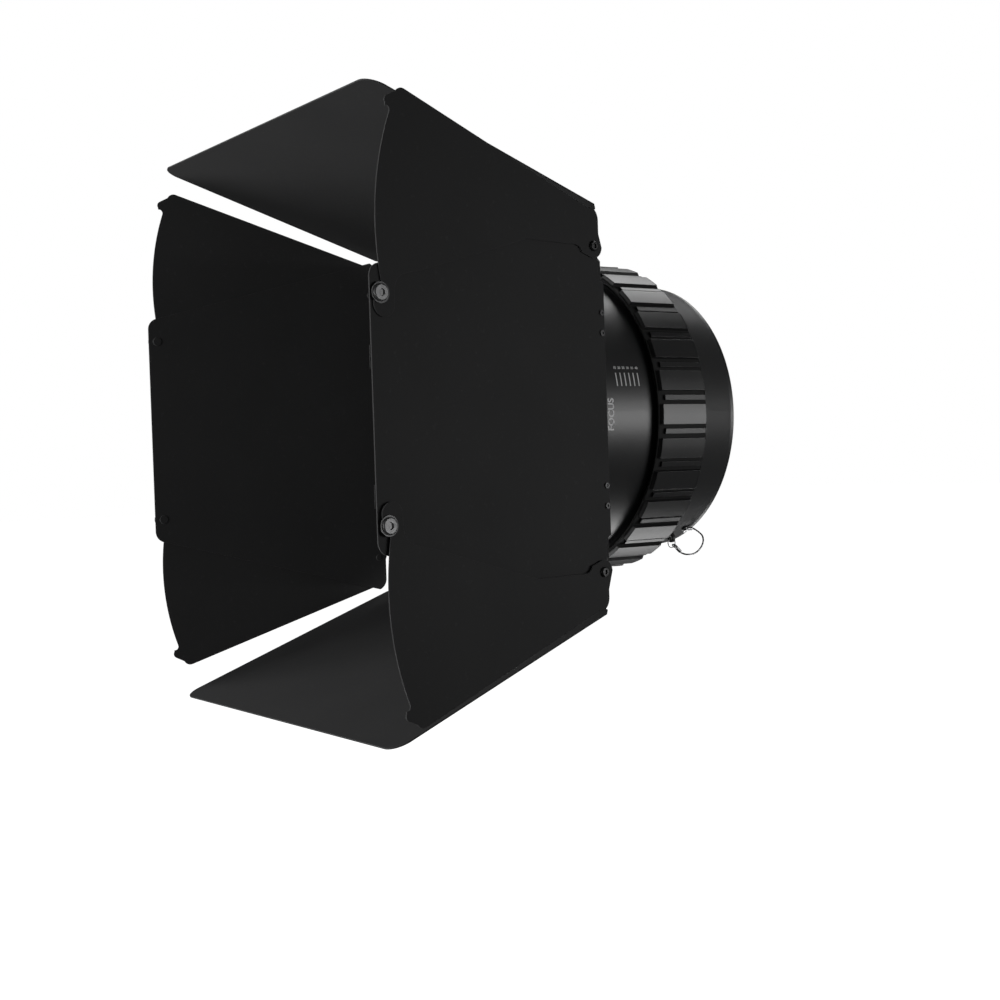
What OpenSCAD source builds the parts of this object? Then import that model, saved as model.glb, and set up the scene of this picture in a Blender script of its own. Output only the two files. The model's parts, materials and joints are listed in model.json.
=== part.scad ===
// Barn door set on a focusing lens barrel.
// +Z is up, -Y is the way the light goes, and the origin is the centre of the
// rear mounting face. A distance "forward" is measured from that face along -Y.

/* [Rear housing] */
// Thickness of the mounting plate
plate_t = 5; // [4:0.5:8]
// Length of the smooth rear housing
housing_len = 46; // [36:1:60]
// Outer radius of the housing at its rear rim
housing_rear_r = 156; // [152:0.5:160]
// Outer radius of the housing beside the focus ring
housing_front_r = 164.5; // [162:0.5:168]
// Wall of the housing
housing_wall = 3; // [2:0.5:5]
// Radius of the light opening in the mounting plate
plate_open_r = 128; // [100:1:132]
// Radius of the bolt circle that fastens the set to a lamp
lamp_bolt_circle_r = 137; // [134:0.5:140]
// Radius of each lamp bolt hole
lamp_bolt_r = 2.75; // [2:0.05:3.3]
// Number of lamp bolt holes
lamp_bolts = 4; // [3:1:8]

/* [Focus ring] */
// Length of the ribbed focus ring
ring_len = 77; // [66:1:95]
// Outer radius over the pads
pad_r = 178; // [176:0.5:190]
// Depth of the grooves between the pads
groove_depth = 5; // [3:0.5:5]
// Number of pads round the ring
pads = 30; // [20:1:36]
// Width of each groove
groove_w = 15; // [10:0.5:18]
// Width of the rib in each groove
groove_rib_w = 5.5; // [3:0.5:7]
// Height of that rib
groove_rib_h = 2.6; // [1:0.1:2.8]

/* [Sliding tube] */
// Outer radius of the sliding tube
tube_r = 166.5; // [165.5:0.25:167]
// Wall of the tube
tube_wall = 3; // [2:0.5:4]
// How far the tube stands out of the focus ring
tube_out = 90.5; // [75:0.5:110]
// Length of the tube hidden inside the focus ring
tube_in = 21; // [18:1:26]
// How far the focus ring draws the tube back
focus_travel = 50; // [20:1:50]
// Turn of the focus ring that does so
focus_angle = 100; // [60:5:110]
// Radius of the lens
lens_r = 157; // [140:0.5:158]
// Thickness of the lens at its rim
lens_t = 5; // [3:0.5:7]
// Steps across the lens
lens_steps = 16; // [6:1:24]

/* [Door frame] */
// Half the width of the frame
frame_x = 212; // [200:1:240]
// Half the height of the frame
frame_z = 195.6; // [190:0.2:230]
// Depth of the frame
frame_depth = 13; // [10:1:20]
// Sheet thickness of the frame
frame_t = 2.5; // [1.5:0.5:3]
// Corner cut of the frame
frame_corner = 45; // [30:1:50]
// Radius of the light opening in the frame
frame_open_r = 160; // [150:1:160]

/* [Hinges] */
// Distance from the frame wall to the hinge axis
axis_out = 3.9; // [3.8:0.1:6]
// Distance of the hinge axis in front of the frame's rear face
axis_forward = 7; // [6:0.5:9]
// Radius of the hinge pins
pin_r = 1.6; // [1:0.1:2]
// Radius of the hinge knuckles
knuckle_r = 3.4; // [3:0.1:3.5]
// Length of the leaf's knuckle
knuckle_len = 30; // [26:1:40]
// Length of each ear on the frame
ear_len = 6; // [4:0.5:9]
// Distance of each hinge from the middle of its side
hinge_at = 87; // [70:1:100]
// Distance between the two screws of a hinge
hinge_screw_gap = 20.4; // [16:0.2:22]

/* [Side leaves] */
// Sheet thickness of every leaf
leaf_t = 1.5; // [1:0.1:2]
// Angle that the side leaves are opened to
side_angle = 6.85; // [0:0.05:12]
// Length of the side leaves, from the line of the hinge screws less 10
side_len = 300; // [250:1:340]
// Half the height of a side leaf at its front edge
side_front_h = 126.9; // [115:0.1:150]
// Half the height of a side leaf at its rear edge
side_rear_h = 204; // [195:1:210]

/* [Top and bottom leaves] */
// Angle that the top leaf is opened to
top_angle = 19.05; // [10:0.05:25]
// Angle that the bottom leaf is opened to
bottom_angle = 21; // [10:0.05:25]
// Length of the top and bottom leaves
cross_len = 298; // [250:1:340]
// Half the width of these leaves at the hinge
cross_rear_w = 219; // [200:0.5:219]
// Half the width of these leaves at the front edge
cross_front_w = 238.3; // [225:0.1:240]

/* [Flaps] */
// Sheet thickness of the flaps
flap_t = 1.2; // [0.8:0.1:1.5]
// Forward distance of the flap pivot from the leaf's datum
pivot_u = 20.4; // [18:0.1:24]
// Distance of the flap pivot from the middle of the leaf
pivot_v = 163.4; // [158:0.1:166]
// Radius of the shoulder that each flap turns on
pivot_r = 2.5; // [2:0.1:3]
// Distance of the guide screw behind the leaf's front edge
guide_inset = 10.1; // [8:0.1:14]
// Angle of the guide screw below the forward line through the pivot
guide_drop = 12.55; // [10:0.05:15]
// Radius of the guide screw's shoulder
guide_r = 3.8; // [3:0.1:4.5]
// Angle that each flap can be drawn in
flap_swing = 34; // [25:1:34]
// How far the left flaps are drawn in from full spread
left_flap_draw = 3; // [0:0.5:6]

/* [Clearances] */
// Radial clearance of the pins, pivots and slides
run_gap = 0.05; // [0.02:0.01:0.1]
// Gap between parts that turn past each other
turn_gap = 0.5; // [0.3:0.1:0.8]
// Radial clearance of a screw in its hole
screw_gap = 0.1; // [0.05:0.05:0.2]

/* [Hidden] */
$fn = 96;

paint = [0.13, 0.13, 0.14];
satin = [0.2, 0.2, 0.21];
steel = [0.55, 0.55, 0.57];
black = [0.08, 0.08, 0.08];

// Stations along the barrel, as distances forward of the mounting face
ring_rear = plate_t + housing_len;
ring_front = ring_rear + ring_len;
tube_rear = ring_front - tube_in;
tube_front = ring_front + tube_out;
holder_len = 12;
holder_front = tube_front + holder_len;
collar_flange_t = 2;
frame_rear = holder_front + turn_gap + collar_flange_t;
frame_front = frame_rear + frame_depth;
hinge_f = frame_rear + axis_forward;

// Focus ring and the sleeve that it turns on
groove_r = pad_r - groove_depth;
ring_bore_r = groove_r - 2.5;
lip_len = 2.5;
sleeve_r = 158;
sleeve_wall = 6;
sleeve_front = tube_rear + 27;
bearing_t = 3.2;
bearing_groove_depth = 2.5;
web_t = 3;
web_open_r = 143;
sleeve_screw_circle_r = 147.5;
plate_screw_circle_r = 148.5;
boss_r = 6.5;
boss_len = 10;
m4_r = 2;
m4_head_r = 3.8;
m4_head_h = 2.6;
m3_r = 1.5;
m3_head_r = 2.8;
m3_head_h = 1.8;

// Cam rollers on the tube, in the slots of the helix band
roller_r = 2.5;
roller_f = tube_rear + 6.5;
band_wall = 3;
cams = 3;

// Lens seat
seat_r = 152;
seat_t = 4;
lens_f = tube_front - 24;
retainer_t = 2;

// Door collar and its holder
collar_r = frame_open_r + 3;
collar_lip_r = collar_r + 5;
collar_lip_t = 3;
holder_r = 176;
collar_rear = tube_front + 3.5;
tube_flange_t = 3;

// Leaf stack, measured outwards from the hinge axis
leaf_in = 4.5;
leaf_out = leaf_in + leaf_t;
bracket_t = 1.9;
bracket_len = 16;
datum = axis_forward + 1;
rear_overhang = 2;
spacer_t = [0.4, 0.7 + flap_t];
layer_gap = 0.2;
washer_t = 0.8;
washer_r = 9.7;
guide_head_r = 8;
pivot_head_r = 5.25;
nut_t = 0.5;

// Axis positions of the four leaves
side_axis = frame_x + axis_out;
cross_axis = frame_z + axis_out;

function arc(c, r, from, to, n = 10) =
    [for (i = [0:n]) let (a = from + (to - from) * i / n) c + r * [cos(a), sin(a)]];
function reversed(list) = [for (i = [len(list) - 1:-1:0]) list[i]];
function mirrored(list) = [for (p = reversed(list)) [p[0], -p[1]]];
function polar(r, a) = r * [cos(a), sin(a)];

// ---- Shared shapes ----

// Turns a profile of [radius, forward distance] points about the light axis
module turned(profile) rotate([90, 0, 0]) rotate_extrude() polygon(profile);

// A plain ring about the light axis
module ring(outer, inner, rear, front)
    turned([[inner, rear], [outer, rear], [outer, front], [inner, front]]);

// Places children, drawn along +Z, forward from a point on a circle
module round_circle(count, radius, f, first = 0)
    for (i = [0:count - 1])
        rotate([0, first + i * 360 / count, 0]) translate([radius, -f, 0]) rotate([90, 0, 0]) children();

// A socket screw that points to -Z from the underside of its head
module socket_screw(r, len, head_r, head_h) {
    translate([0, 0, -len]) cylinder(r = r, h = len);
    difference() {
        cylinder(r = head_r, h = head_h);
        translate([0, 0, head_h * 0.35]) cylinder(r = head_r * 0.5, h = head_h, $fn = 6);
    }
}

// ---- Rear housing, fixed to the lamp ----

module mount_plate() color(satin) difference() {
    ring(housing_rear_r - 0.5, plate_open_r, 0, plate_t);
    round_circle(lamp_bolts, lamp_bolt_circle_r, -1, 45) cylinder(r = lamp_bolt_r, h = plate_t + 2);
    round_circle(6, plate_screw_circle_r, -1) cylinder(r = m4_r + screw_gap, h = plate_t + 2);
    round_circle(6, plate_screw_circle_r, -1) cylinder(r = m4_head_r + 0.4, h = 1 + m4_head_h + 0.2);
}

module plate_screws() color(steel)
    round_circle(6, plate_screw_circle_r, m4_head_h + 0.2)
        rotate([180, 0, 0]) socket_screw(m4_r, plate_t + 5, m4_head_r, m4_head_h);

module rear_housing() color(satin) difference() {
    union() {
        turned([
            [housing_rear_r - housing_wall, plate_t],
            [housing_rear_r, plate_t],
            [housing_front_r, ring_rear],
            [web_open_r, ring_rear],
            [web_open_r, ring_rear - web_t],
            [housing_front_r - housing_wall - 0.5, ring_rear - web_t]
        ]);
        intersection() {
            round_circle(6, plate_screw_circle_r, plate_t) cylinder(r = boss_r, h = boss_len);
            ring(housing_rear_r - housing_wall / 2, plate_open_r, plate_t, ring_rear);
        }
    }
    round_circle(6, plate_screw_circle_r, plate_t - 1) cylinder(r = m4_r + screw_gap, h = boss_len);
    round_circle(6, sleeve_screw_circle_r, ring_rear - web_t - 1, 30)
        cylinder(r = m4_r + screw_gap, h = web_t + 2);
    at_anchor(housing_rear_r - 2 * housing_wall) cylinder(r = m3_r + 0.02, h = 4 * housing_wall);
}

module guide_sleeve() color(black) difference() {
    turned([
        [web_open_r, ring_rear],
        [sleeve_r - bearing_groove_depth, ring_rear],
        [sleeve_r - bearing_groove_depth, ring_rear + bearing_t + 2 * turn_gap],
        [sleeve_r, ring_rear + bearing_t + 2 * turn_gap],
        [sleeve_r, sleeve_front],
        [sleeve_r - sleeve_wall, sleeve_front],
        [sleeve_r - sleeve_wall, ring_rear + 8],
        [web_open_r, ring_rear + 8]
    ]);
    round_circle(6, sleeve_screw_circle_r, ring_rear - 1, 30) cylinder(r = m4_r + screw_gap, h = 7);
}

module sleeve_screws() color(steel)
    round_circle(6, sleeve_screw_circle_r, ring_rear - web_t, 30)
        rotate([180, 0, 0]) socket_screw(m4_r, web_t + 5, m4_head_r, m4_head_h);

// ---- Safety wire under the housing ----

lug_angle = 57;
lug_f = ring_rear - 8;
lug_t = 3;
lug_hole_r = 2.6;
lug_reach = 171;
split_r = 5.5;
split_wire_r = 0.9;
wire_r = 1;
crimp_r = 2;
crimp_len = 7;

eye_r = 2.9;
lug_hole = [lug_reach * cos(lug_angle), -lug_f - lug_t / 2, -lug_reach * sin(lug_angle)];
split_at = lug_hole - [0, 0, split_r];

// Centre of the eye that is linked with the split ring, and the way its crimp leaves it
eye_dir = [0, cos(40), -sin(40)];
eye_at = split_at + (split_r + 0.8) * eye_dir;

// The second eye lies on the housing, under a screw in line with the lug
anchor_f = plate_t + 13.5;
anchor_r = housing_rear_r + (housing_front_r - housing_rear_r) * (anchor_f + eye_r + wire_r - plate_t) / housing_len + wire_r + 0.1;
eye_stem = eye_r + wire_r - 0.4;
anchor_run = eye_stem + crimp_len;

// Points of the safety wire, from the first crimp to the second
wire_route = [eye_at + anchor_run * eye_dir, eye_at + (anchor_run + 3) * eye_dir, [96.5, -24, -163.5], [98.5, -14, -162.5], [99.5, -6, -157],
    [99, -1, -150], [97, 0, -143.5], [93, -1.5, -139],
    [anchor_r * cos(lug_angle), anchor_run + 3 - anchor_f, -anchor_r * sin(lug_angle)],
    [anchor_r * cos(lug_angle), anchor_run - anchor_f, -anchor_r * sin(lug_angle)]];

// Places children, drawn along +Z outwards, over the anchor hole at a radius
module at_anchor(radius) rotate([0, lug_angle, 0]) translate([radius, -anchor_f, 0]) rotate([0, 90, 0]) children();

module anchor_screw() color(steel) at_anchor(anchor_r + wire_r + 0.05)
    socket_screw(m3_r, anchor_r + wire_r - housing_rear_r + housing_wall, m3_head_r, m3_head_h);

module safety_lug() color(satin) rotate([0, lug_angle, 0]) difference() {
    union() {
        translate([housing_front_r - 3.5, -lug_f - lug_t, -5]) cube([lug_reach - housing_front_r + 3.5, lug_t, 10]);
        translate([lug_reach, -lug_f, 0]) rotate([90, 0, 0]) cylinder(r = 5, h = lug_t);
    }
    translate([lug_reach, -lug_f + 1, 0]) rotate([90, 0, 0]) cylinder(r = lug_hole_r, h = lug_t + 2);
    turned([[100, 0], [housing_rear_r, plate_t], [housing_front_r, ring_rear], [housing_front_r, 80], [100, 80]]);
}

// The split ring hangs in the lug's hole
module split_ring() color(steel)
    translate(split_at) rotate([0, 90, 0]) rotate_extrude() translate([split_r, 0]) circle(r = split_wire_r, $fn = 24);

function unit(v) = v / norm(v);
// A tube swept along a list of points, as one closed polyhedron
module swept(points, r, sides) {
    n = len(points);
    dirs = [for (i = [0:n - 1]) unit(points[min(i + 1, n - 1)] - points[max(i - 1, 0)])];
    rings = [for (i = [0:n - 1])
        let (s = unit(cross(dirs[i], [1, 0, 0])), t = cross(dirs[i], s))
        for (k = [0:sides - 1]) points[i] + r * (s * cos(k * 360 / sides) + t * sin(k * 360 / sides))];
    walls = [for (i = [0:n - 2], k = [0:sides - 1])
        let (a = i * sides + k, b = i * sides + (k + 1) % sides) [a, a + sides, b + sides, b]];
    ends = [[for (k = [0:sides - 1]) k], [for (k = [sides - 1:-1:0]) (n - 1) * sides + k]];
    polyhedron(rings, concat(walls, ends));
}

// A point between two route points, for a smooth curve through them
function spline(p, i, t) = let (
    a = p[max(i - 1, 0)], b = p[i], c = p[i + 1], d = p[min(i + 2, len(p) - 1)])
    b + 0.5 * t * (c - a + t * (2 * a - 5 * b + 4 * c - d + t * (3 * (b - c) + d - a)));
wire_path = concat([wire_route[0]],
    [for (i = [1:len(wire_route) - 3], t = [0, 0.5]) spline(wire_route, i, t)],
    [wire_route[len(wire_route) - 2], wire_route[len(wire_route) - 1]]);

module safety_wire() color(steel) swept(wire_path, wire_r, 8);

// Crimp sleeve from a point along a direction, with an eye at its far end that is rolled about that direction
module crimp(start, dir, roll)
    translate(start) rotate([0, acos(dir[2]), atan2(dir[1], dir[0])]) rotate([0, 0, roll]) {
        cylinder(r = crimp_r, h = crimp_len);
        translate([0, 0, crimp_len + eye_stem]) rotate([0, 90, 0])
            rotate_extrude() translate([eye_r, 0]) circle(r = wire_r, $fn = 24);
    }

module wire_crimps() color(steel) {
    crimp(wire_path[0], -eye_dir, 0);
    crimp(wire_path[len(wire_path) - 1], [0, -1, 0], 90 - lug_angle);
}

// ---- Focus ring ----

module focus_ring() color(satin) {
    turned([
        [bearing_r, ring_rear + turn_gap],
        [housing_front_r + 0.5, ring_rear + turn_gap],
        [groove_r, pad_rear],
        [groove_r, ring_front - lip_len],
        [groove_r + 1.5, ring_front - lip_len],
        [groove_r + 1, ring_front],
        [ring_bore_r + 1, ring_front],
        [ring_bore_r + 1, ring_front - mouth_len],
        [ring_bore_r, ring_front - mouth_len],
        [ring_bore_r, band_rear],
        [tube_r + 1.1, band_rear],
        [tube_r + 1.1, shoulder_front],
        [bearing_r - 2.5, shoulder_front],
        [bearing_r - 2.5, ring_rear + turn_gap + bearing_t],
        [bearing_r, ring_rear + turn_gap + bearing_t]
    ]);
    for (i = [0:pads - 1]) rotate([0, pad_phase + i * 360 / pads, 0]) {
        rotate([90, pad_turn / 2, 0]) rotate_extrude(angle = pad_turn) polygon([
            [groove_r - 1, pad_rear - 0.3],
            [pad_r, pad_rear + 0.5 + groove_depth * 0.8],
            [pad_r, ring_front - lip_len - 1.5],
            [groove_r + 0.5, ring_front - 1],
            [groove_r - 1, ring_front - 1]
        ]);
        rotate([0, 180 / pads, 0])
            translate([groove_r - 1, -(ring_front - lip_len - rib_setback), -groove_rib_w / 2])
                cube([1 + groove_rib_h, ring_front - lip_len - rib_setback - pad_rear - 3, groove_rib_w]);
    }
}
pad_phase = 1.2;
rib_setback = 7;
mouth_len = 8;
pad_rear = ring_rear + 7;
pad_turn = 360 / pads - groove_w / groove_r * 180 / PI;
shoulder_front = tube_rear - focus_travel - turn_gap;
band_rear = shoulder_front + 1;
bearing_r = housing_front_r - 2;

module bearing_plate() color(steel)
    ring(bearing_r, sleeve_r - bearing_groove_depth + run_gap, ring_rear + turn_gap, ring_rear + turn_gap + bearing_t);

// Thin band with one sloping slot for each cam roller
module helix_band() color(black) {
    outer = ring_bore_r - run_gap;
    slot = 2 * roller_r + 1;
    extra = 0.5;
    rise = focus_travel + 2 * extra;
    turn = focus_angle * rise / focus_travel;
    step_arc = turn / band_steps * PI / 180 * outer;
    step_rise = rise / band_steps;
    rotate([90, 0, 0]) difference() {
        translate([0, 0, band_rear]) linear_extrude(ring_front - mouth_len - band_rear) difference() {
            circle(r = outer);
            circle(r = outer - band_wall + 0.1);
        }
        for (i = [0:cams - 1])
            rotate([0, 0, -i * 360 / cams + extra * focus_angle / focus_travel])
                for (k = [0:band_steps])
                    rotate([0, 0, -turn * k / band_steps])
                        translate([outer - 6, -(slot + step_arc) / 2, roller_f + extra - step_rise * k - (slot + step_rise) / 2])
                            cube([12, slot + step_arc, slot + step_rise]);
    }
}
band_steps = 40;

// ---- Sliding tube ----

module lens_tube() color(satin) difference() {
    turned([
        [sleeve_r + run_gap, tube_rear],
        [tube_r, tube_rear],
        [tube_r, tube_front - tube_flange_t],
        [holder_r, tube_front - tube_flange_t],
        [holder_r, tube_front],
        [tube_r - tube_wall, tube_front],
        [tube_r - tube_wall, lens_f],
        [seat_r, lens_f],
        [seat_r, lens_f - seat_t],
        [tube_r - tube_wall, lens_f - seat_t],
        [tube_r - tube_wall, tube_rear + 5],
        [sleeve_r + run_gap, tube_rear + 5]
    ]);
    round_circle(6, (lens_r + tube_r - tube_wall) / 2, lens_f - seat_t - 1) cylinder(r = m3_r + screw_gap, h = seat_t + 2);
    round_circle(6, (holder_r + tube_r) / 2 + 1, tube_front - tube_flange_t - 1, 15)
        cylinder(r = m3_r + screw_gap, h = tube_flange_t + 2);
    for (i = [0:cams - 1])
        rotate([0, i * 360 / cams, 0]) translate([tube_r - 2, -roller_f, 0])
            rotate([0, 90, 0]) cylinder(r = roller_r - 1 + screw_gap, h = 5);
}

module cam_rollers() color(steel)
    for (i = [0:cams - 1])
        rotate([0, i * 360 / cams, 0]) translate([tube_r, -roller_f, 0]) rotate([0, 90, 0]) {
            cylinder(r = roller_r, h = ring_bore_r - 0.7 - tube_r);
            translate([0, 0, -2]) cylinder(r = roller_r - 1, h = 3);
        }

module fresnel_lens() color([0.8, 0.9, 0.95, 0.4]) {
    pitch = (lens_r - 5) / lens_steps;
    depth = 2.2;
    turned(concat(
        [[0, lens_f], [lens_r, lens_f], [lens_r, lens_f + lens_t], [lens_steps * pitch, lens_f + lens_t]],
        [for (i = [lens_steps - 1:-1:1], k = [0, 1])
            [(i + (k == 0 ? 0.12 : 0)) * pitch, lens_f + lens_t + (k == 0 ? depth * (i + 4) / (lens_steps + 4) : 0)]],
        [[0, lens_f + lens_t + 1]]));
}

module lens_retainer() color(black) difference() {
    turned([
        [lens_r + screw_gap, lens_f],
        [tube_r - tube_wall - 0.2, lens_f],
        [tube_r - tube_wall - 0.2, lens_f + lens_t + 2 + retainer_t],
        [seat_r, lens_f + lens_t + 2 + retainer_t],
        [seat_r, lens_f + lens_t + 0.1],
        [lens_r + screw_gap, lens_f + lens_t + 0.1]
    ]);
    round_circle(6, (lens_r + tube_r - tube_wall) / 2, lens_f - 1) cylinder(r = m3_r + screw_gap, h = 20);
}

module retainer_screws() color(steel)
    round_circle(6, (lens_r + tube_r - tube_wall) / 2, lens_f + lens_t + 2 + retainer_t)
        socket_screw(m3_r, lens_t + seat_t + retainer_t, m3_head_r, m3_head_h);

module door_holder() color(satin) difference() {
    turned([
        [collar_lip_r + turn_gap, tube_front],
        [holder_r, tube_front],
        [holder_r, holder_front - 1],
        [holder_r - 1, holder_front],
        [collar_r + run_gap, holder_front],
        [collar_r + run_gap, collar_rear + collar_lip_t + turn_gap],
        [collar_lip_r + turn_gap, collar_rear + collar_lip_t + turn_gap]
    ]);
    round_circle(6, (holder_r + tube_r) / 2 + 1, tube_front - 1, 15) cylinder(r = m3_r + screw_gap, h = 7);
}

module holder_screws() color(steel)
    round_circle(6, (holder_r + tube_r) / 2 + 1, tube_front - tube_flange_t, 15)
        rotate([180, 0, 0]) socket_screw(m3_r, tube_flange_t + 5, m3_head_r, m3_head_h);

module drag_ring() color(black)
    ring(collar_lip_r, tube_r - tube_wall + 0.5, tube_front, collar_rear - 0.3);

// ---- Door frame, which turns on the tube ----

module door_collar() color(satin) difference() {
    turned([
        [frame_open_r, collar_rear],
        [collar_lip_r, collar_rear],
        [collar_lip_r, collar_rear + collar_lip_t],
        [collar_r, collar_rear + collar_lip_t],
        [collar_r, frame_rear - collar_flange_t],
        [holder_r - 1, frame_rear - collar_flange_t],
        [holder_r - 1, frame_rear],
        [frame_open_r, frame_rear]
    ]);
    round_circle(8, collar_screw_circle_r, frame_rear - 3, 22.5) cylinder(r = m3_r + screw_gap, h = 6);
}
collar_screw_circle_r = 169;

module collar_screws() color(steel)
    round_circle(8, collar_screw_circle_r, frame_rear + frame_t, 22.5)
        socket_screw(m3_r, frame_t + collar_flange_t, m3_head_r, m3_head_h);

// Outline of the frame with its corners cut, inset by a margin
module frame_outline(inset) {
    x = frame_x - inset;
    z = frame_z - inset;
    c = frame_corner - inset * 0.586;
    polygon([[x, z - c], [x - c, z], [c - x, z], [-x, z - c], [-x, c - z], [c - x, -z], [x - c, -z], [x, c - z]]);
}

// Draws children, made for a side at +X with the hinge axis at the origin, on each of the four sides
module on_sides() for (s = [0, 1]) mirror([s, 0, 0]) translate([side_axis, -hinge_f, 0]) children();
module on_cross() for (s = [0, 1]) mirror([0, 0, s]) translate([0, -hinge_f, cross_axis]) rotate([0, -90, 0]) children();

// Ears of the two hinges on one side
module ears() for (s = [-1, 1], e = [-1, 1])
    translate([0, 0, s * hinge_at + e * (knuckle_len + ear_len + 2 * ear_gap) / 2]) difference() {
        union() {
            translate([0, 0, -ear_len / 2]) cylinder(r = knuckle_r, h = ear_len, $fn = 48);
            translate([-axis_out - 0.5, -knuckle_r, -ear_len / 2]) cube([axis_out + 0.5, 2 * knuckle_r, ear_len]);
        }
        translate([0, 0, -ear_len]) cylinder(r = pin_r + 0.02, h = 2 * ear_len, $fn = 48);
    }
ear_gap = 0.3;

module door_frame() color(paint) {
    difference() {
        rotate([90, 0, 0]) translate([0, 0, frame_rear]) linear_extrude(frame_depth) frame_outline(0);
        rotate([90, 0, 0]) translate([0, 0, frame_rear + frame_t]) linear_extrude(frame_depth) frame_outline(frame_t);
        rotate([90, 0, 0]) translate([0, 0, frame_rear - 1]) cylinder(r = frame_open_r, h = 10);
        round_circle(8, collar_screw_circle_r, frame_rear - 1, 22.5) cylinder(r = m3_r + screw_gap, h = 6);
    }
    on_sides() ears();
    on_cross() ears();
}

module hinge_pins() for (s = [-1, 1])
    translate([0, 0, s * hinge_at - knuckle_len / 2 - ear_gap - ear_len])
        cylinder(r = pin_r, h = knuckle_len + 2 * (ear_gap + ear_len), $fn = 48);

module side_hinge_pins() color(steel) on_sides() hinge_pins();
module cross_hinge_pins() color(steel) on_cross() hinge_pins();

// ---- Leaves. In a leaf's own frame the hinge axis is Z, forward is -Y and outward is +X. ----

// Turns a flat drawing of [forward from the datum, along the hinge] into a sheet at a height above the axis
module sheet(height, thickness)
    translate([height, datum, 0]) rotate([90, 0, 90]) mirror([1, 0, 0]) linear_extrude(thickness) children();

// Places children, drawn along +Z outwards, at a point of the leaf
module at_leaf(u, v, height) translate([height, datum - u, v]) rotate([0, 90, 0]) children();

module bracket_set() for (s = [-1, 1]) translate([0, 0, s * hinge_at]) difference() {
    union() {
        translate([0, 0, -knuckle_len / 2]) cylinder(r = knuckle_r, h = knuckle_len, $fn = 48);
        translate([leaf_in - bracket_t, -bracket_len, -knuckle_len / 2]) cube([bracket_t, bracket_len + 1, knuckle_len]);
        translate([0, -knuckle_r, -knuckle_len / 2]) cube([leaf_in, knuckle_r + 1, knuckle_len]);
    }
    translate([0, 0, -knuckle_len]) cylinder(r = pin_r + run_gap, h = 2 * knuckle_len, $fn = 48);
    for (e = [-1, 1]) at_leaf(datum + hinge_screw_u, e * hinge_screw_gap / 2, pin_r + 1)
        cylinder(r = 1.2 + 0.02, h = 10, $fn = 32);
}
hinge_screw_u = 2;

module hinge_screw_set() for (s = [-1, 1], e = [-1, 1])
    at_leaf(datum + hinge_screw_u, s * hinge_at + e * hinge_screw_gap / 2, leaf_out)
        socket_screw(1.2, leaf_out - pin_r - 1.2, 3, 1.3);

module hinge_holes() for (s = [-1, 1], e = [-1, 1])
    at_leaf(datum + hinge_screw_u, s * hinge_at + e * hinge_screw_gap / 2, leaf_in - 1)
        cylinder(r = 1.2 + screw_gap, h = leaf_t + 2, $fn = 32);

// Upper half of a side leaf's outline, from the middle of its rear edge to the middle of its front edge
side_half = concat(
    [[datum - rear_overhang, 0], [datum - rear_overhang, 127]],
    arc([13.5, 135], 4, 270, 180, 4),
    [[13.5, 135], [13.5, 152], [11, 160]],
    arc([25, side_rear_h - 14], 14, 180, 112, 8),
    arc([side_len - 13, side_front_h - 9.5], 13, 68, 0, 8),
    [[side_len, 0]]);

module side_leaf() difference() {
    sheet(leaf_in, leaf_t) union() {
        polygon(side_half);
        polygon(mirrored(side_half));
    }
    hinge_holes();
    for (s = [-1, 1]) {
        at_leaf(pivot_u, s * pivot_v, leaf_in - 1) cylinder(r = pivot_r + screw_gap, h = leaf_t + 2);
        at_leaf(guide_u, s * guide_v, leaf_in - 1) cylinder(r = guide_r + screw_gap, h = leaf_t + 2);
    }
}
guide_u = side_len - guide_inset;
guide_reach = (guide_u - pivot_u) / cos(guide_drop);
guide_v = pivot_v - guide_reach * sin(guide_drop);

// The upper flap is next to the leaf and the lower flap runs over it
function flap_in(layer) = leaf_out + spacer_t[layer];
function flap_out(layer) = flap_in(layer) + flap_t;

module guide_screw_set() for (k = [0, 1]) {
    stack = flap_out(k) + layer_gap + washer_t;
    at_leaf(guide_u, (1 - 2 * k) * guide_v, stack) {
        translate([0, 0, -(stack - leaf_in)]) cylinder(r = guide_r, h = stack - leaf_in);
        difference() {
            union() {
                cylinder(r = guide_head_r, h = 1.2);
                translate([0, 0, 1.2]) cylinder(r1 = guide_head_r, r2 = guide_head_r - 1.2, h = 0.8);
            }
            translate([0, 0, 0.6]) cylinder(r = 3.6, h = 3, $fn = 6);
        }
    }
}

module washer_set() for (k = [0, 1])
    at_leaf(guide_u, (1 - 2 * k) * guide_v, flap_out(k) + layer_gap) difference() {
        cylinder(r = washer_r, h = washer_t);
        translate([0, 0, -1]) cylinder(r = guide_r + screw_gap, h = 3);
    }

module pivot_screw_set() for (k = [0, 1]) {
    stack = flap_out(k) + layer_gap;
    at_leaf(pivot_u, (1 - 2 * k) * pivot_v, stack) {
        translate([0, 0, -(stack - leaf_in)]) cylinder(r = pivot_r, h = stack - leaf_in);
        difference() {
            union() {
                cylinder(r = pivot_head_r, h = 1.2);
                translate([0, 0, 1.2]) cylinder(r1 = pivot_head_r, r2 = pivot_head_r - 1.3, h = 1);
            }
            translate([0, 0, 0.7]) cylinder(r = 2.6, h = 3, $fn = 6);
        }
    }
}

// Low clinch nuts, pressed into the inner face
module panel_nut_set() for (s = [-1, 1]) {
    at_leaf(pivot_u, s * pivot_v, leaf_in - nut_t) cylinder(r1 = pivot_r + 0.9, r2 = pivot_r + 1.4, h = nut_t);
    at_leaf(guide_u, s * guide_v, leaf_in - nut_t) cylinder(r1 = guide_r + 0.9, r2 = guide_r + 1.4, h = nut_t);
}

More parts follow.
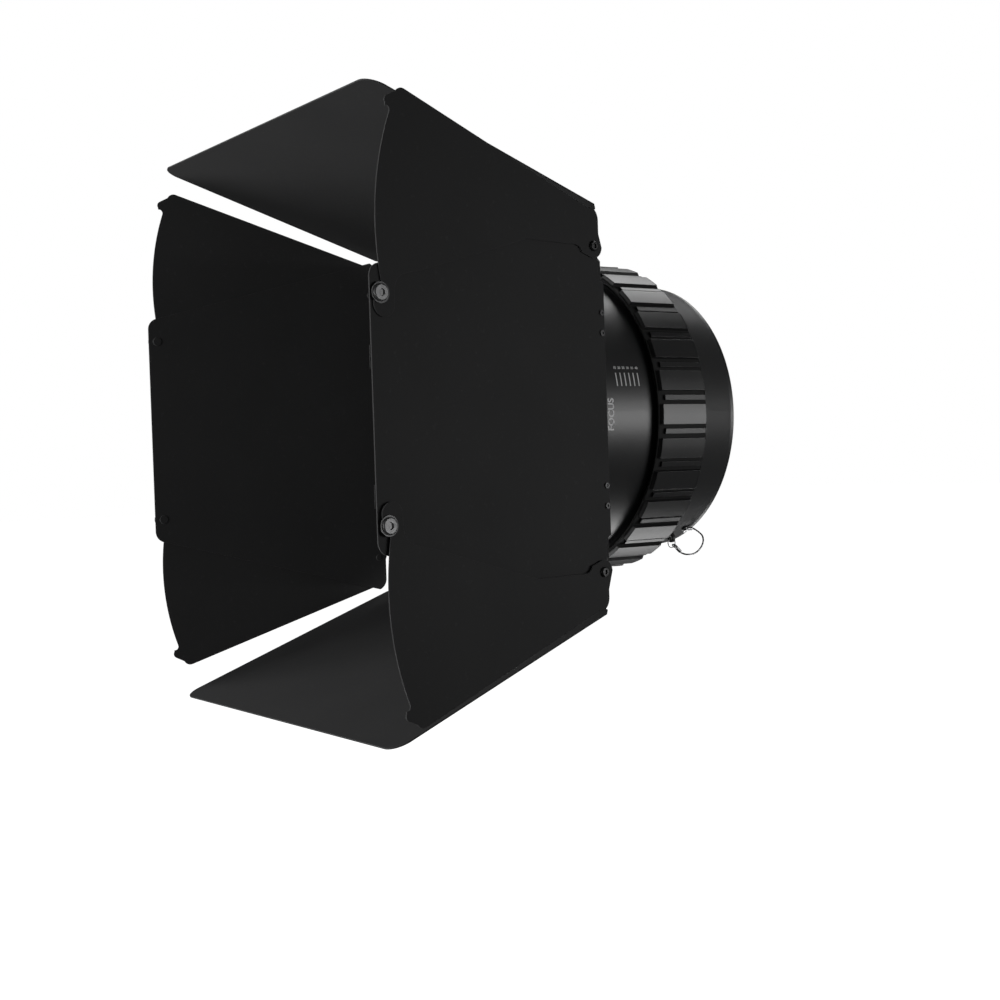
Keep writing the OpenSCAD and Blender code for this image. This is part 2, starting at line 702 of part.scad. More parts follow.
module spacer_set() for (k = [0, 1])
    at_leaf(pivot_u, (1 - 2 * k) * pivot_v, leaf_out) difference() {
        cylinder(r = 7, h = spacer_t[k] - 0.1);
        translate([0, 0, -1]) cylinder(r = pivot_r + screw_gap, h = 5);
    }

// Right and left side leaves, and the upper and lower halves of each, are mirror images
module at_right() translate([side_axis, -hinge_f, 0]) rotate([0, 0, side_angle]) children();
module at_left() mirror([1, 0, 0]) at_right() children();

module right_leaf() color(paint) at_right() side_leaf();
module right_brackets() color(satin) at_right() bracket_set();
module right_hinge_screws() color(black) at_right() hinge_screw_set();
module right_guide_screws() color(satin) at_right() guide_screw_set();
module right_washers() color(steel) at_right() washer_set();
module right_pivot_screws() color(satin) at_right() pivot_screw_set();
module right_panel_nuts() color(steel) at_right() panel_nut_set();
module right_spacers() color(black) at_right() spacer_set();
module left_leaf() color(paint) at_left() side_leaf();
module left_brackets() color(satin) at_left() bracket_set();
module left_hinge_screws() color(black) at_left() hinge_screw_set();
module left_guide_screws() color(satin) at_left() guide_screw_set();
module left_washers() color(steel) at_left() washer_set();
module left_pivot_screws() color(satin) at_left() pivot_screw_set();
module left_panel_nuts() color(steel) at_left() panel_nut_set();
module left_spacers() color(black) at_left() spacer_set();

// ---- Flaps ----

// Outline of a flap about its pivot, fully spread: forward is +X and outward is +Y
flap_edge_slope = 20.7;
flap_heel = [-1, 35];
tip_r = 8;
tip_reach = 252;
tip_dir = polar(1, flap_edge_slope);
tip_centre = flap_heel + tip_reach * tip_dir + tip_r * [sin(flap_edge_slope), -cos(flap_edge_slope)];
hook_r = guide_reach + guide_r + 1;
guide_gap = 0.3;
spread_end = -guide_drop;
drawn_end = spread_end + flap_swing + 0.5;
foot = [265, -70];
foot_r = 11.5;
pocket_r = guide_r + guide_gap;
flap_points = concat(
    [flap_heel],
    arc(tip_centre, tip_r, flap_edge_slope + 90, 30, 6),
    arc(polar(hook_r - 5, drawn_end + 1.9), 5, 60, -30, 6),
    arc(polar(guide_reach, drawn_end), pocket_r, drawn_end + 60, drawn_end + 180, 6),
    arc([0, 0], guide_reach - pocket_r, drawn_end - 0.5, spread_end + 0.5, 24),
    arc(polar(guide_reach, spread_end), pocket_r, spread_end + 180, spread_end + 295, 6),
    arc(foot, foot_r, 25, -160, 14),
    arc([236, -57.5], 17, -5, 72, 6),
    [[220.7, -37.2], [90.5, 0.5], [27, 0]],
    arc([26, -11], 11, 100, 160, 4),
    arc([0, 0], 12, -60, -175, 10));

module flap_sheet() difference() {
    polygon(flap_points);
    circle(r = pivot_r + run_gap);
}

// A flap of one layer, drawn in from full spread by an angle
module flap(layer, draw)
    translate([flap_in(layer), datum - pivot_u, pivot_v]) rotate([90, 0, 90]) mirror([1, 0, 0])
        rotate([0, 0, -draw]) linear_extrude(flap_t) flap_sheet();

module lower() mirror([0, 0, 1]) children();

module right_top_flap() color(paint) at_right() flap(0, 0);
module right_bottom_flap() color(paint) at_right() lower() flap(1, 0);
module left_top_flap() color(paint) at_left() flap(0, left_flap_draw);
module left_bottom_flap() color(paint) at_left() lower() flap(1, left_flap_draw);

// ---- Top and bottom leaves ----

cross_half = concat(
    [[datum - rear_overhang, 0], [datum - rear_overhang, cross_rear_w - 8], [datum + 6, cross_rear_w]],
    arc([cross_len - 18, cross_front_w - 19.2], 18, 90 + 3.8, 0, 10),
    [[cross_len, 0]]);

module cross_leaf() difference() {
    sheet(leaf_in, leaf_t) union() {
        polygon(cross_half);
        polygon(mirrored(cross_half));
    }
    hinge_holes();
}

// The leaf's own frame, turned so that outward is +Z
module at_top() translate([0, -hinge_f, cross_axis]) rotate([-top_angle, 0, 0]) rotate([0, -90, 0]) children();
module at_bottom() mirror([0, 0, 1]) translate([0, -hinge_f, cross_axis]) rotate([-bottom_angle, 0, 0])
    rotate([0, -90, 0]) children();

module top_leaf() color(paint) at_top() cross_leaf();
module top_brackets() color(satin) at_top() bracket_set();
module top_hinge_screws() color(black) at_top() hinge_screw_set();
module bottom_leaf() color(paint) at_bottom() cross_leaf();
module bottom_brackets() color(satin) at_bottom() bracket_set();
module bottom_hinge_screws() color(black) at_bottom() hinge_screw_set();

mount_plate();
plate_screws();
rear_housing();
guide_sleeve();
sleeve_screws();
safety_lug();
split_ring();
wire_crimps();
safety_wire();
anchor_screw();
focus_ring();
bearing_plate();
helix_band();
lens_tube();
cam_rollers();
fresnel_lens();
lens_retainer();
retainer_screws();
door_holder();
holder_screws();
drag_ring();
door_collar();
collar_screws();
door_frame();
side_hinge_pins();
cross_hinge_pins();
right_leaf();
right_brackets();
right_hinge_screws();
right_guide_screws();
right_washers();
right_pivot_screws();
right_panel_nuts();
right_spacers();
left_leaf();
left_brackets();
left_hinge_screws();
left_guide_screws();
left_washers();
left_pivot_screws();
left_panel_nuts();
left_spacers();
top_leaf();
top_brackets();
top_hinge_screws();
bottom_leaf();
bottom_brackets();
bottom_hinge_screws();
right_top_flap();
right_bottom_flap();
left_top_flap();
left_bottom_flap();
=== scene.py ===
"""Finishes, fine detail, light and camera for a barn door set on a focusing lens barrel.

The set hangs on a lamp by its rear face. -Y is the way the light goes and +Z is up.
"""
import json
import math

import bmesh
import bpy
from mathutils import Matrix, Vector


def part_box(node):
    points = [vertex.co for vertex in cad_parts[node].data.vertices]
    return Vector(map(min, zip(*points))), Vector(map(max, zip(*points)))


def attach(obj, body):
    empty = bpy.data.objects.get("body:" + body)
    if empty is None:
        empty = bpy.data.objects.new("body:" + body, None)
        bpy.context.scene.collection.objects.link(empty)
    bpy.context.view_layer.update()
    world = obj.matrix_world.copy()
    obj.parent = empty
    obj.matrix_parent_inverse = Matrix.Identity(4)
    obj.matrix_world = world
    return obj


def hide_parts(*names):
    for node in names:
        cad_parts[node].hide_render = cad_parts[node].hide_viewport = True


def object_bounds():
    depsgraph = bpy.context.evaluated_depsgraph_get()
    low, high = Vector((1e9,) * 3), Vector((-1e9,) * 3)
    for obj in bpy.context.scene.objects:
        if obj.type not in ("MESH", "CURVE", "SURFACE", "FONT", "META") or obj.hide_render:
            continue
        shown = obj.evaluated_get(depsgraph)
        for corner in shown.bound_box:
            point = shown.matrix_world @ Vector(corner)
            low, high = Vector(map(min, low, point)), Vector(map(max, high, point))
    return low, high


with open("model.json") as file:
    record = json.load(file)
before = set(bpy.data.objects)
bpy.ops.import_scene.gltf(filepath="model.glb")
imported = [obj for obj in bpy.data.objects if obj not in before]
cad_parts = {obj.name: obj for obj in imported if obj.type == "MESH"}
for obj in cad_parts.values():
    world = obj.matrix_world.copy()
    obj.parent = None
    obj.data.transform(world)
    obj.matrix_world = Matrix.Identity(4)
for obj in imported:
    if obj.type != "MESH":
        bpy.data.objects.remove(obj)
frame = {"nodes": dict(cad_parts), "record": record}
cad_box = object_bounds()

# The script works in metres and writes its own sizes in millimetres
MM = 0.001
TAU = 2 * math.pi


# ---- Shader arithmetic and finishes ----

class Wire:
    """A shader value that takes part in plain arithmetic."""

    def __init__(self, tree, socket):
        self.tree, self.socket = tree, socket

    def join(self, operation, a, b, clamp=False):
        node = self.tree.nodes.new("ShaderNodeMath")
        node.operation, node.use_clamp = operation, clamp
        for slot, value in zip(node.inputs, (a, b)):
            plug(self.tree, slot, value)
        return Wire(self.tree, node.outputs[0])

    def __add__(self, other):
        return self.join("ADD", self, other)

    def __sub__(self, other):
        return self.join("SUBTRACT", self, other)

    def __rsub__(self, other):
        return self.join("SUBTRACT", other, self)

    def __mul__(self, other):
        return self.join("MULTIPLY", self, other)

    def limited(self):
        return self.join("ADD", self, 0.0, clamp=True)

    __radd__, __rmul__ = __add__, __mul__


def plug(tree, slot, value):
    if isinstance(value, Wire):
        tree.links.new(value.socket, slot)
    else:
        slot.default_value = value


def rgba(grey, tint=(1, 1, 1)):
    return [grey * t for t in tint] + [1]


class Finish:
    """A node material under construction. Patterns read Object coordinates, in metres."""

    def __init__(self, name, **shader):
        self.material = bpy.data.materials.new(name)
        self.material.use_nodes = True
        self.tree = self.material.node_tree
        self.tree.nodes.clear()
        self.shader = self.tree.nodes.new("ShaderNodeBsdfPrincipled")
        out = self.tree.nodes.new("ShaderNodeOutputMaterial")
        self.tree.links.new(self.shader.outputs[0], out.inputs[0])
        for key, value in shader.items():
            plug(self.tree, self.shader.inputs[key.replace("_", " ")], value)
        self.place = self.node("TexCoord", out="Object")

    def node(self, kind, settings=None, out=0, **inputs):
        node = self.tree.nodes.new("ShaderNode" + kind)
        for key, value in (settings or {}).items():
            setattr(node, key, value)
        for key, value in inputs.items():
            plug(self.tree, node.inputs[key.replace("_", " ")], value)
        return Wire(self.tree, node.outputs[out])

    def noise(self, scale, detail=3, stretch=None, rough=0.5):
        where = self.place
        if stretch:
            where = self.node("Mapping", Vector=where, Scale=stretch)
        return self.node("TexNoise", Vector=where, Scale=scale, Detail=detail, Roughness=rough)

    def between(self, value, low, high):
        """0 below low, 1 above high, and an even slope between."""
        return self.node("MapRange", {"clamp": True}, Value=value, **{"From_Min": low, "From_Max": high})

    def mix(self, share, a, b):
        node = self.tree.nodes.new("ShaderNodeMix")
        node.data_type = "RGBA"
        for slot, value in zip((node.inputs[0], node.inputs[6], node.inputs[7]), (share, a, b)):
            plug(self.tree, slot, value)
        return Wire(self.tree, node.outputs[2])

    def rounded(self, radius):
        return self.node("Bevel", {"samples": 4}, Radius=radius)

    def edge(self, radius):
        """1 on the corners of a piece and 0 on its flats."""
        flat = self.node("NewGeometry", out="Normal")
        turn = self.node("VectorMath", {"operation": "DOT_PRODUCT"}, out="Value")
        node = turn.socket.node
        plug(self.tree, node.inputs[0], self.rounded(radius))
        plug(self.tree, node.inputs[1], flat)
        return self.between(1 - turn, 0.02, 0.22)

    def bump(self, height, distance, normal=None, strength=1.0):
        extra = {"Normal": normal} if normal else {}
        return self.node("Bump", Height=height, Distance=distance, Strength=strength, **extra)

    def set(self, **sockets):
        for key, value in sockets.items():
            plug(self.tree, self.shader.inputs[key.replace("_", " ")], value)
        return self.material


def coated(name, grey, worn, rough, grain, depth, corner, gloss=0.5, turned=0.0, tint=(1, 1, 1.02), wear=0.6,
           sunk=None):
    """Paint or powder on metal: fine grain, faint clouding, softened corners rubbed lighter.
    grain is in bumps to the metre, and turned is the depth of lathe lines across the light axis.
    Within the radius sunk, the finish is duller, and its colour is darkened towards black as painted shade on the floor
    of a groove."""
    f = Finish(name, Specular_IOR_Level=gloss)
    cloud = f.noise(11, 4)
    dust = f.noise(160, 2, rough=0.7)
    rub = f.between(f.noise(46, 5, rough=0.65), 0.36, 0.62)
    edge = f.edge(corner)
    level = f.mix(cloud, rgba(grey * 0.86, tint), rgba(grey * 1.14, tint))
    level = f.mix(f.between(dust, 0.62, 0.8) * 0.18, level, rgba(worn * 0.55, tint))
    colour = f.mix(edge * (0.35 + wear * rub), level, rgba(worn, tint))
    height = f.noise(grain, 2, rough=0.6)
    shine = rough - 0.05 + 0.1 * cloud - 0.08 * edge
    if sunk:
        across = f.node("VectorMath", {"operation": "MULTIPLY"}, Vector=f.place)
        plug(f.tree, across.socket.node.inputs[1], (1, 0, 1))
        radius = f.node("VectorMath", {"operation": "LENGTH"}, out="Value", Vector=across)
        # Painted shade: inside the radius sunk the colour is pulled towards black where the groove floors lie in
        # shadow; the roughness rise is a duller finish there.
        low = 1 - f.between(radius, sunk, sunk + 0.9 * MM)
        colour = f.mix(low, colour, rgba(grey * 0.15, tint))
        shine = shine + low * 0.45
    if turned:
        lines = f.node("TexWave", {"wave_type": "BANDS", "bands_direction": "Y", "wave_profile": "SIN"},
                       Vector=f.place, Scale=420.0, Distortion=0.6, Detail=1.0)
        height = height + lines * turned
    return f.set(Base_Color=colour, Roughness=shine.limited(), Normal=f.bump(height, depth, f.rounded(corner)))


def steel(name, grey, rough, corner, stain=0.25, tint=(1, 1, 1.01)):
    """Bare or plated steel with fine scratches, dulled in patches."""
    f = Finish(name, Metallic=1.0)
    patch = f.noise(220, 4, rough=0.6)
    scratch = f.noise(900, 2, stretch=(1, 1, 9))
    edge = f.edge(corner)
    colour = f.mix(f.between(patch, 0.3, 0.75) * stain, rgba(grey, tint), rgba(grey * 0.45, tint))
    colour = f.mix(edge * 0.6, colour, rgba(min(1, grey * 1.5), tint))
    return f.set(Base_Color=colour, Roughness=(rough + 0.18 * patch - 0.09).limited(),
                 Normal=f.bump(scratch, 0.006 * MM, f.rounded(corner)))


def lens_glass(name):
    f = Finish(name, Transmission_Weight=1.0, IOR=1.5)
    ripple = f.noise(260, 2)
    return f.set(Base_Color=f.mix(ripple, [0.86, 0.94, 0.95, 1], [0.92, 0.97, 0.98, 1]),
                 Roughness=0.03 + 0.05 * f.noise(40, 2), Normal=f.bump(ripple, 0.02 * MM))


def marking(name):
    """Printed marking ink, thin enough to show the grain under it."""
    f = Finish(name)
    speck = f.noise(2600, 3, rough=0.7)
    return f.set(Base_Color=f.mix(f.between(speck, 0.5, 0.8), rgba(0.72), rgba(0.45)),
                 Roughness=0.55 + 0.1 * speck, Normal=f.bump(speck, 0.01 * MM))


def soft_black(name, grey, rough, grain):
    """Nylon or rubber with a fine moulded grain."""
    f = Finish(name)
    skin = f.noise(grain, 3, rough=0.6)
    return f.set(Base_Color=f.mix(skin, rgba(grey * 0.8), rgba(grey * 1.2)),
                 Roughness=(rough + 0.1 * skin).limited(), Normal=f.bump(skin, 0.03 * MM, f.rounded(0.15 * MM)))


finishes = {
    "panel_black": coated("panel_powder_coat", 0.016, 0.1, 0.7, 2600, 0.03 * MM, 0.4 * MM, gloss=0.22),
    "barrel_black": coated("barrel_satin_paint", 0.016, 0.1, 0.37, 3800, 0.012 * MM, 0.4 * MM, turned=0.25),
    # The sunk radius paints shade into the floors of the grooves between the ring's pads.
    "ring_black": coated("ring_satin_paint_with_groove_shade", 0.0125, 0.16, 0.38, 3400, 0.018 * MM, 0.5 * MM, wear=0.9, sunk=174.6 * MM),
    "anodised_black": coated("inner_black_anodising", 0.008, 0.05, 0.45, 4200, 0.008 * MM, 0.3 * MM, turned=0.5),
    "bracket_black": coated("bracket_satin_paint", 0.016, 0.09, 0.46, 3200, 0.015 * MM, 0.35 * MM),
    "screw_black": steel("screw_black_oxide", 0.035, 0.38, 0.25 * MM),
    "guide_screw_grey": steel("screw_dull_grey", 0.13, 0.46, 0.3 * MM),
    "washer_dark": steel("washer_black_oxide", 0.05, 0.42, 0.25 * MM),
    "fastener_steel": steel("fastener_zinc_plate", 0.5, 0.3, 0.2 * MM),
    "wire_steel": steel("wire_bright_steel", 0.3, 0.28, 0.15 * MM),
    "spacer_black": soft_black("spacer_nylon", 0.02, 0.5, 1800),
    "drag_pad": soft_black("drag_rubber", 0.015, 0.75, 2400),
    "lens_glass": lens_glass("stepped_lens_glass"),
}
slot_of = {p["node"]: p["material_slot"] for p in frame["record"]["subparts"]}
for name, node in frame["nodes"].items():
    node.data.materials.clear()
    node.data.materials.append(finishes[slot_of[name]])


# ---- Mesh helpers ----

def piece(name, mesh, material, body, smooth=True):
    """Turns a finished bmesh into a piece that rides on a body."""
    bmesh.ops.remove_doubles(mesh, verts=mesh.verts, dist=0.002 * MM)
    bmesh.ops.recalc_face_normals(mesh, faces=mesh.faces)
    data = bpy.data.meshes.new(name)
    mesh.to_mesh(data)
    mesh.free()
    if smooth:
        data.shade_smooth()
    data.materials.append(material)
    obj = bpy.data.objects.new(name, data)
    bpy.context.scene.collection.objects.link(obj)
    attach(obj, body)
    return obj


def on_barrel(forward, angle, radius):
    """Place on the barrel: forward of the mounting face, turned up from +X, in metres and radians."""
    return Matrix.Rotation(-angle, 4, "Y") @ Matrix.Translation((radius, -forward, 0))


def arc_mark(mesh, forward, start, end, radius, width, proud):
    """A printed line round the barrel from one angle to another."""
    verts = [mesh.verts.new((radius + r, -forward + y, 0))
             for r, y in ((-0.05 * MM, -width / 2), (proud, -width / 2), (proud, width / 2), (-0.05 * MM, width / 2))]
    face = mesh.faces.new(verts)
    bmesh.ops.rotate(mesh, verts=verts, cent=(0, 0, 0), matrix=Matrix.Rotation(-start, 3, "Y"))
    bmesh.ops.spin(mesh, geom=[face, *face.edges, *face.verts], cent=(0, 0, 0), axis=(0, 1, 0),
                   angle=-(end - start), steps=24, use_merge=False, use_duplicate=False)


def wrapped_text(text, size, radius, forward, angle, upward=False):
    """Raised figures bent round the barrel, as a bmesh. They read upright from the side, or upward along the curve."""
    curve = bpy.data.curves.new("figure", "FONT")
    curve.body, curve.size, curve.extrude, curve.offset = text, size, 0.06 * MM, 0.02 * size
    curve.align_x, curve.align_y = "CENTER", "CENTER"
    holder = bpy.data.objects.new("figure", curve)
    bpy.context.scene.collection.objects.link(holder)
    bpy.context.view_layer.update()
    data = bpy.data.meshes.new_from_object(holder.evaluated_get(bpy.context.evaluated_depsgraph_get()))
    bpy.data.objects.remove(holder)
    mesh = bmesh.new()
    mesh.from_mesh(data)
    bpy.data.meshes.remove(data)
    for v in mesh.verts:
        along, up, out = v.co
        if upward:
            along, up = -up, along
        v.co = on_barrel(forward - along, angle + up / radius, radius + out) @ Vector((0, 0, 0))
    return mesh


def merged(meshes):
    """Several bmeshes as one."""
    whole = bmesh.new()
    for mesh in meshes:
        data = bpy.data.meshes.new("part")
        mesh.to_mesh(data)
        mesh.free()
        whole.from_mesh(data)
        bpy.data.meshes.remove(data)
    return whole


# ---- Focus scale on the tube ----

ink = marking("marking_ink")
TUBE_R = 166.5 * MM
MARK_LOW, MARK_HIGH = math.radians(9.5), math.radians(14.5)
scale_places = [175.8, 169.8, 163.8, 157.8, 151.8, 145.8, 123]

lines = bmesh.new()
for forward in scale_places:
    arc_mark(lines, forward * MM, MARK_LOW, MARK_HIGH, TUBE_R, width=1.3 * MM, proud=0.05 * MM)
piece("focus_scale_lines", lines, ink, "lens_tube", smooth=False)

figures = [wrapped_text(str(figure), 3.8 * MM, TUBE_R, forward * MM, math.radians(16.4))
           for figure, forward in zip((15, 20, 25, 30, 35, 40), scale_places)]
figures.append(wrapped_text("FOCUS", 11 * MM, TUBE_R, 187 * MM, math.radians(-1), upward=True))
piece("focus_scale_figures", merged(figures), ink, "lens_tube", smooth=False)


# ---- Painted highlight: bright metal beads on the rear edge of the focus ring ----

PADS = 30
PAD_SPAN = math.radians(7.03)
PAD_PHASE = math.radians(1.2)


def bead(mesh, forward, radius, thick, centre, span):
    """A fine round bead along an arc about the light axis."""
    ring = bmesh.ops.create_circle(mesh, segments=8, radius=thick, cap_ends=True)["verts"]
    bmesh.ops.translate(mesh, verts=ring, vec=(radius, -forward, 0))
    bmesh.ops.rotate(mesh, verts=ring, cent=(0, 0, 0), matrix=Matrix.Rotation(centre - span / 2, 3, "Y"))
    section = list({g for v in ring for g in (v, *v.link_edges, *v.link_faces)})
    bmesh.ops.spin(mesh, geom=section, cent=(0, 0, 0), axis=(0, 1, 0), angle=span, steps=8)


edges = bmesh.new()
for i in range(PADS):
    centre = PAD_PHASE + i * TAU / PADS
    bead(edges, 62.5 * MM, 177.85 * MM, 0.35 * MM, centre, PAD_SPAN - 0.004)
    bead(edges, 58.2 * MM, 173.1 * MM, 0.35 * MM, centre + math.pi / PADS, TAU / PADS - PAD_SPAN)
# The beads' bare-metal colour is a painted highlight: it stands in for the thin bright line of light along the ring's
# edge.
piece("ring_edge_highlight_beads", edges, steel("bare_metal_edge_highlight", 0.11, 0.42, 0.1 * MM), "focus_ring")


# ---- Safety wire and its split ring ----

LUG_TURN = math.radians(57)
EYE_DIR = Vector((0, math.cos(math.radians(40)), -math.sin(math.radians(40))))
LUG_REACH = 171
SPLIT_R = 5.5
split_at = Vector((LUG_REACH * math.cos(LUG_TURN), -44.5, -LUG_REACH * math.sin(LUG_TURN) - SPLIT_R)) * MM
ANCHOR = Vector((math.cos(LUG_TURN), 0, -math.sin(LUG_TURN))) * 160.3 * MM
WIRE_KNOTS = [split_at + 16.8 * MM * EYE_DIR, split_at + 19.8 * MM * EYE_DIR] + [Vector(p) * MM for p in (
    (96.5, -24, -163.5), (98.5, -14, -162.5), (99.5, -6, -157), (99, -1, -150), (97, 0, -143.5),
    (93, -1.5, -139))] + [ANCHOR + Vector((0, y * MM, 0)) for y in (-5, -8)]


def smooth_path(knots, per_span):
    """Points on one smooth curve through the knots."""
    path = []
    for i in range(len(knots) - 1):
        a, b, c, d = (knots[max(i - 1, 0)], knots[i], knots[i + 1], knots[min(i + 2, len(knots) - 1)])
        for k in range(per_span):
            t = k / per_span
            path.append(b + 0.5 * t * (c - a + t * (2 * a - 5 * b + 4 * c - d + t * (3 * (b - c) + d - a))))
    return path + [knots[-1]]


def rope(mesh, path, radius, strands, lay):
    """A laid rope: a lobed section drawn along a path, turning once in each lay length."""
    ring = bmesh.ops.create_circle(mesh, segments=3 * strands, radius=radius, cap_ends=True)["verts"]
    for n, v in enumerate(ring):
        if n % 3 == 0:
            v.co *= 0.8
    heading = [(path[min(i + 1, len(path) - 1)] - path[max(i - 1, 0)]).normalized() for i in range(len(path))]
    frame_now = heading[0].to_track_quat("Z", "X").to_matrix()
    bmesh.ops.transform(mesh, verts=mesh.verts, matrix=Matrix.Translation(path[0]) @ frame_now.to_4x4())
    section = list(mesh.faces)
    for i in range(1, len(path)):
        step = path[i] - path[i - 1]
        swing = heading[i - 1].rotation_difference(heading[i]).to_matrix()
        twist = Matrix.Rotation(TAU * step.length / lay, 3, heading[i])
        made = bmesh.ops.extrude_face_region(mesh, geom=section)["geom"]
        verts = [g for g in made if isinstance(g, bmesh.types.BMVert)]
        if i > 1:
            bmesh.ops.delete(mesh, geom=section, context="FACES_ONLY")
        section = [g for g in made if isinstance(g, bmesh.types.BMFace)]
        bmesh.ops.rotate(mesh, verts=verts, cent=path[i - 1], matrix=twist @ swing)
        bmesh.ops.translate(mesh, verts=verts, vec=step)


WIRE_R = 1.0 * MM
wire_path = smooth_path(WIRE_KNOTS, 12)
wire_mesh = bmesh.new()
rope(wire_mesh, wire_path, WIRE_R, strands=6, lay=9 * MM)
wire = piece("safety_wire_rope", wire_mesh, finishes["wire_steel"], "base")
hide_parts("safety_wire")
wire_length = sum((b - a).length for a, b in zip(wire_path, wire_path[1:]))

coil = bmesh.new()
section = bmesh.ops.create_circle(coil, segments=10, radius=0.46 * MM, cap_ends=False)["verts"]
bmesh.ops.rotate(coil, verts=section, cent=(0, 0, 0), matrix=Matrix.Rotation(math.pi / 2, 3, "X"))
bmesh.ops.translate(coil, verts=section, vec=(SPLIT_R * MM, 0, -0.45 * MM))
TURNS, STEPS = 1.9, 90
COIL_START = 0.6
bmesh.ops.spin(coil, geom=list(coil.edges), cent=(0, 0, 0), axis=(0, 0, 1), dvec=(0, 0, 0.9 * MM / STEPS),
               angle=TURNS * TAU, steps=STEPS)
bmesh.ops.holes_fill(coil, edges=[e for e in coil.edges if e.is_boundary], sides=0)
bmesh.ops.transform(coil, verts=coil.verts,
                    matrix=Matrix.Translation(split_at) @ Matrix.Rotation(math.pi / 2, 4, "Y")
                    @ Matrix.Rotation(COIL_START, 4, "Z"))
split = piece("split_ring_coil", coil, finishes["wire_steel"], "base")
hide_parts("split_ring")


# ---- Peened heads on the hinge pins ----

def pin_head(mesh, centre, out):
    """A shallow dome on the end of a hinge pin."""
    verts = bmesh.ops.create_uvsphere(mesh, u_segments=20, v_segments=10, radius=2.3 * MM)["verts"]
    bmesh.ops.scale(mesh, verts=verts, vec=(1, 1, 0.42))
    flat = bmesh.ops.bisect_plane(mesh, geom=list({g for v in verts for g in (v, *v.link_edges, *v.link_faces)}),
                                  plane_co=(0, 0, 0), plane_no=(0, 0, -1), clear_outer=True)
    rim = [g for g in flat["geom_cut"] if isinstance(g, bmesh.types.BMEdge)]
    bmesh.ops.holes_fill(mesh, edges=rim, sides=0)
    verts = [v for v in mesh.verts if v.co.length < 3 * MM]
    turn = Vector((0, 0, 1)).rotation_difference(out).to_matrix().to_4x4()
    bmesh.ops.transform(mesh, verts=verts, matrix=Matrix.Translation(centre) @ turn)


side_low, side_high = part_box("side_hinge_pins")
cross_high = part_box("cross_hinge_pins")[1]
PIN_R = 1.6 * MM
HINGE_HALF = 21.3 * MM
heads = bmesh.new()
hinge_y = (side_low.y + side_high.y) / 2
for side in (-1, 1):
    for pair in (-1, 1):
        for end in (-1, 1):
            along = side_high.z - HINGE_HALF
            pin_head(heads, Vector((side * (side_high.x - PIN_R), hinge_y, pair * along + end * HINGE_HALF)),
                     Vector((0, 0, end)))
            pin_head(heads, Vector((pair * along + end * HINGE_HALF, hinge_y, side * (cross_high.z - PIN_R))),
                     Vector((end, 0, 0)))
piece("hinge_pin_heads", heads, finishes["fastener_steel"], "door_frame")


# ---- Light, floor and camera ----

def softbox(name, place, aim, width, height, power):
    """A soft rectangular lamp at a place, turned to face a point. Sizes in metres, power in watts."""
    lamp = bpy.data.lights.new(name, "AREA")
    lamp.shape, lamp.size, lamp.size_y, lamp.energy = "RECTANGLE", width, height, power
    obj = bpy.data.objects.new(name, lamp)
    obj.location = place
    obj.rotation_euler = (Vector(aim) - Vector(place)).to_track_quat("-Z", "Y").to_euler()
    bpy.context.scene.collection.objects.link(obj)


softbox("side_softbox", (1.95, 1.15, -0.06), (0.15, -0.1, 0.0), 1.5, 0.5, 19)
softbox("top_softbox", (-0.6, 1.15, 1.7), (0.05, -0.1, 0.1), 1.3, 0.7, 13)
softbox("low_softbox", (-0.35, 1.15, -1.85), (0.05, -0.1, -0.1), 0.9, 0.7, 12)
softbox("left_high_softbox", (-1.7, -1.9, 1.7), (0, -0.4, -0.1), 1.3, 1.3, 34)
softbox("left_low_softbox", (-1.7, -1.9, -1.7), (0, -0.4, 0.1), 1.3, 1.3, 38)
softbox("front_softbox", (0.25, -3.1, 0.0), (0, -0.3, 0), 1.2, 1.6, 90)

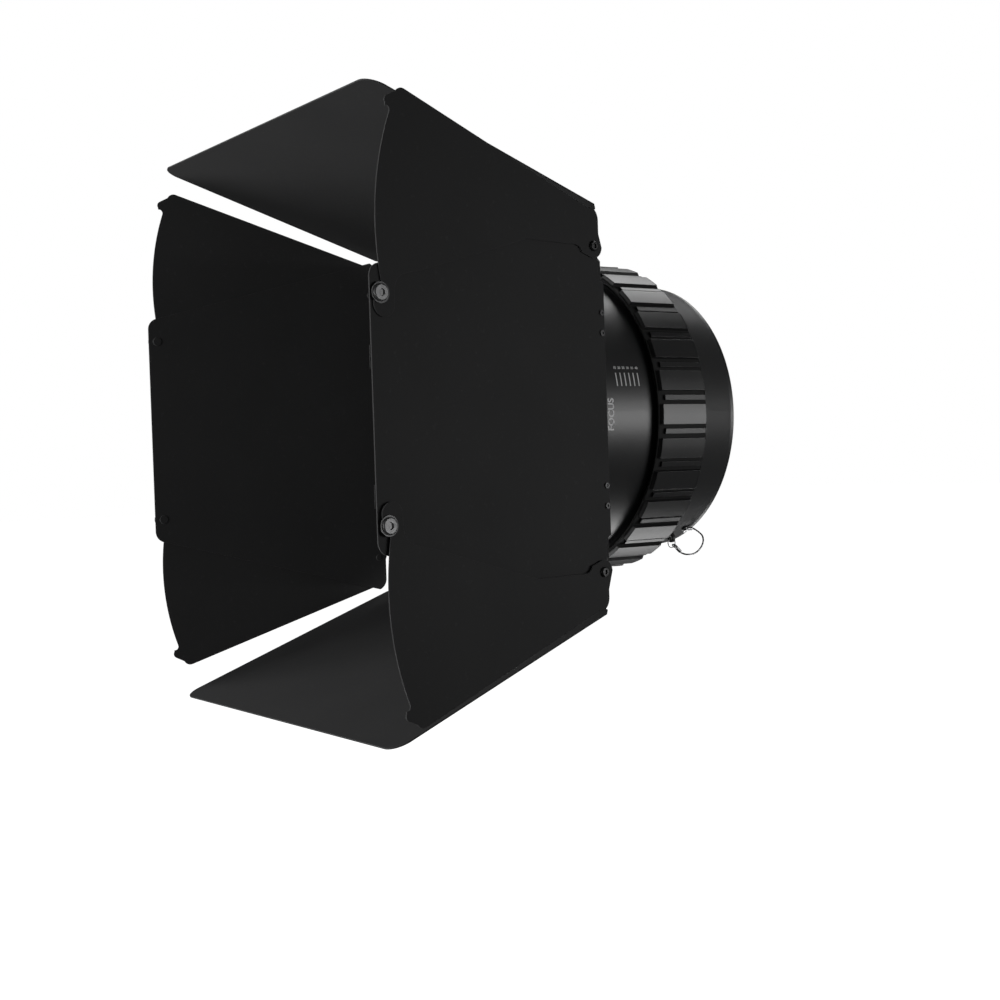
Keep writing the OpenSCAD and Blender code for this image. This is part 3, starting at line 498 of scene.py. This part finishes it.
world = bpy.data.worlds.new("studio")
bpy.context.scene.world = world
world.use_nodes = True
sky = world.node_tree
sky.nodes.clear()
white = sky.nodes.new("ShaderNodeBackground")
white.inputs[0].default_value = (1, 1, 1, 1)
dim = sky.nodes.new("ShaderNodeBackground")
dim.inputs[0].default_value = (0.96, 0.98, 1, 1)
dim.inputs[1].default_value = 0.06
ray = sky.nodes.new("ShaderNodeLightPath")
mixed = sky.nodes.new("ShaderNodeMixShader")
world_out = sky.nodes.new("ShaderNodeOutputWorld")
sky.links.new(ray.outputs["Is Camera Ray"], mixed.inputs[0])
sky.links.new(dim.outputs[0], mixed.inputs[1])
sky.links.new(white.outputs[0], mixed.inputs[2])
sky.links.new(mixed.outputs[0], world_out.inputs[0])

floor_mesh = bmesh.new()
bmesh.ops.create_grid(floor_mesh, x_segments=1, y_segments=1, size=30)
bmesh.ops.translate(floor_mesh, verts=floor_mesh.verts, vec=(0, 0, cad_box[0].z - 0.6))
floor_data = bpy.data.meshes.new("floor")
floor_mesh.to_mesh(floor_data)
floor_mesh.free()
pale = Finish("pale_floor", Base_Color=rgba(0.9), Roughness=0.9, Emission_Color=rgba(1), Emission_Strength=1.0)
floor_data.materials.append(pale.material)
floor = bpy.data.objects.new("floor", floor_data)
bpy.context.scene.collection.objects.link(floor)
floor.visible_glossy = floor.visible_diffuse = floor.visible_shadow = False

AIM = Vector((0, -0.232, 0))
azimuth, elevation, roll = (math.radians(a) for a in (55.27, 1.33, -1.87))
level_right = Vector((math.cos(azimuth), math.sin(azimuth), 0))
back = Vector((math.sin(azimuth) * math.cos(elevation), -math.cos(azimuth) * math.cos(elevation), math.sin(elevation)))
level_up = back.cross(level_right)
right = math.cos(roll) * level_right + math.sin(roll) * level_up
up = back.cross(right)
lens = bpy.data.cameras.new("camera")
lens.lens, lens.sensor_width, lens.clip_start, lens.clip_end = 54.57, 36, 0.01, 100
camera = bpy.data.objects.new("camera", lens)
place = AIM + 1.71711 * back + 0.01366 * right - 0.09186 * up
camera.matrix_world = Matrix([(right[i], up[i], back[i], place[i]) for i in range(3)] + [(0, 0, 0, 1)])
bpy.context.scene.collection.objects.link(camera)
bpy.context.scene.camera = camera
bpy.context.scene.view_settings.view_transform = "Standard"
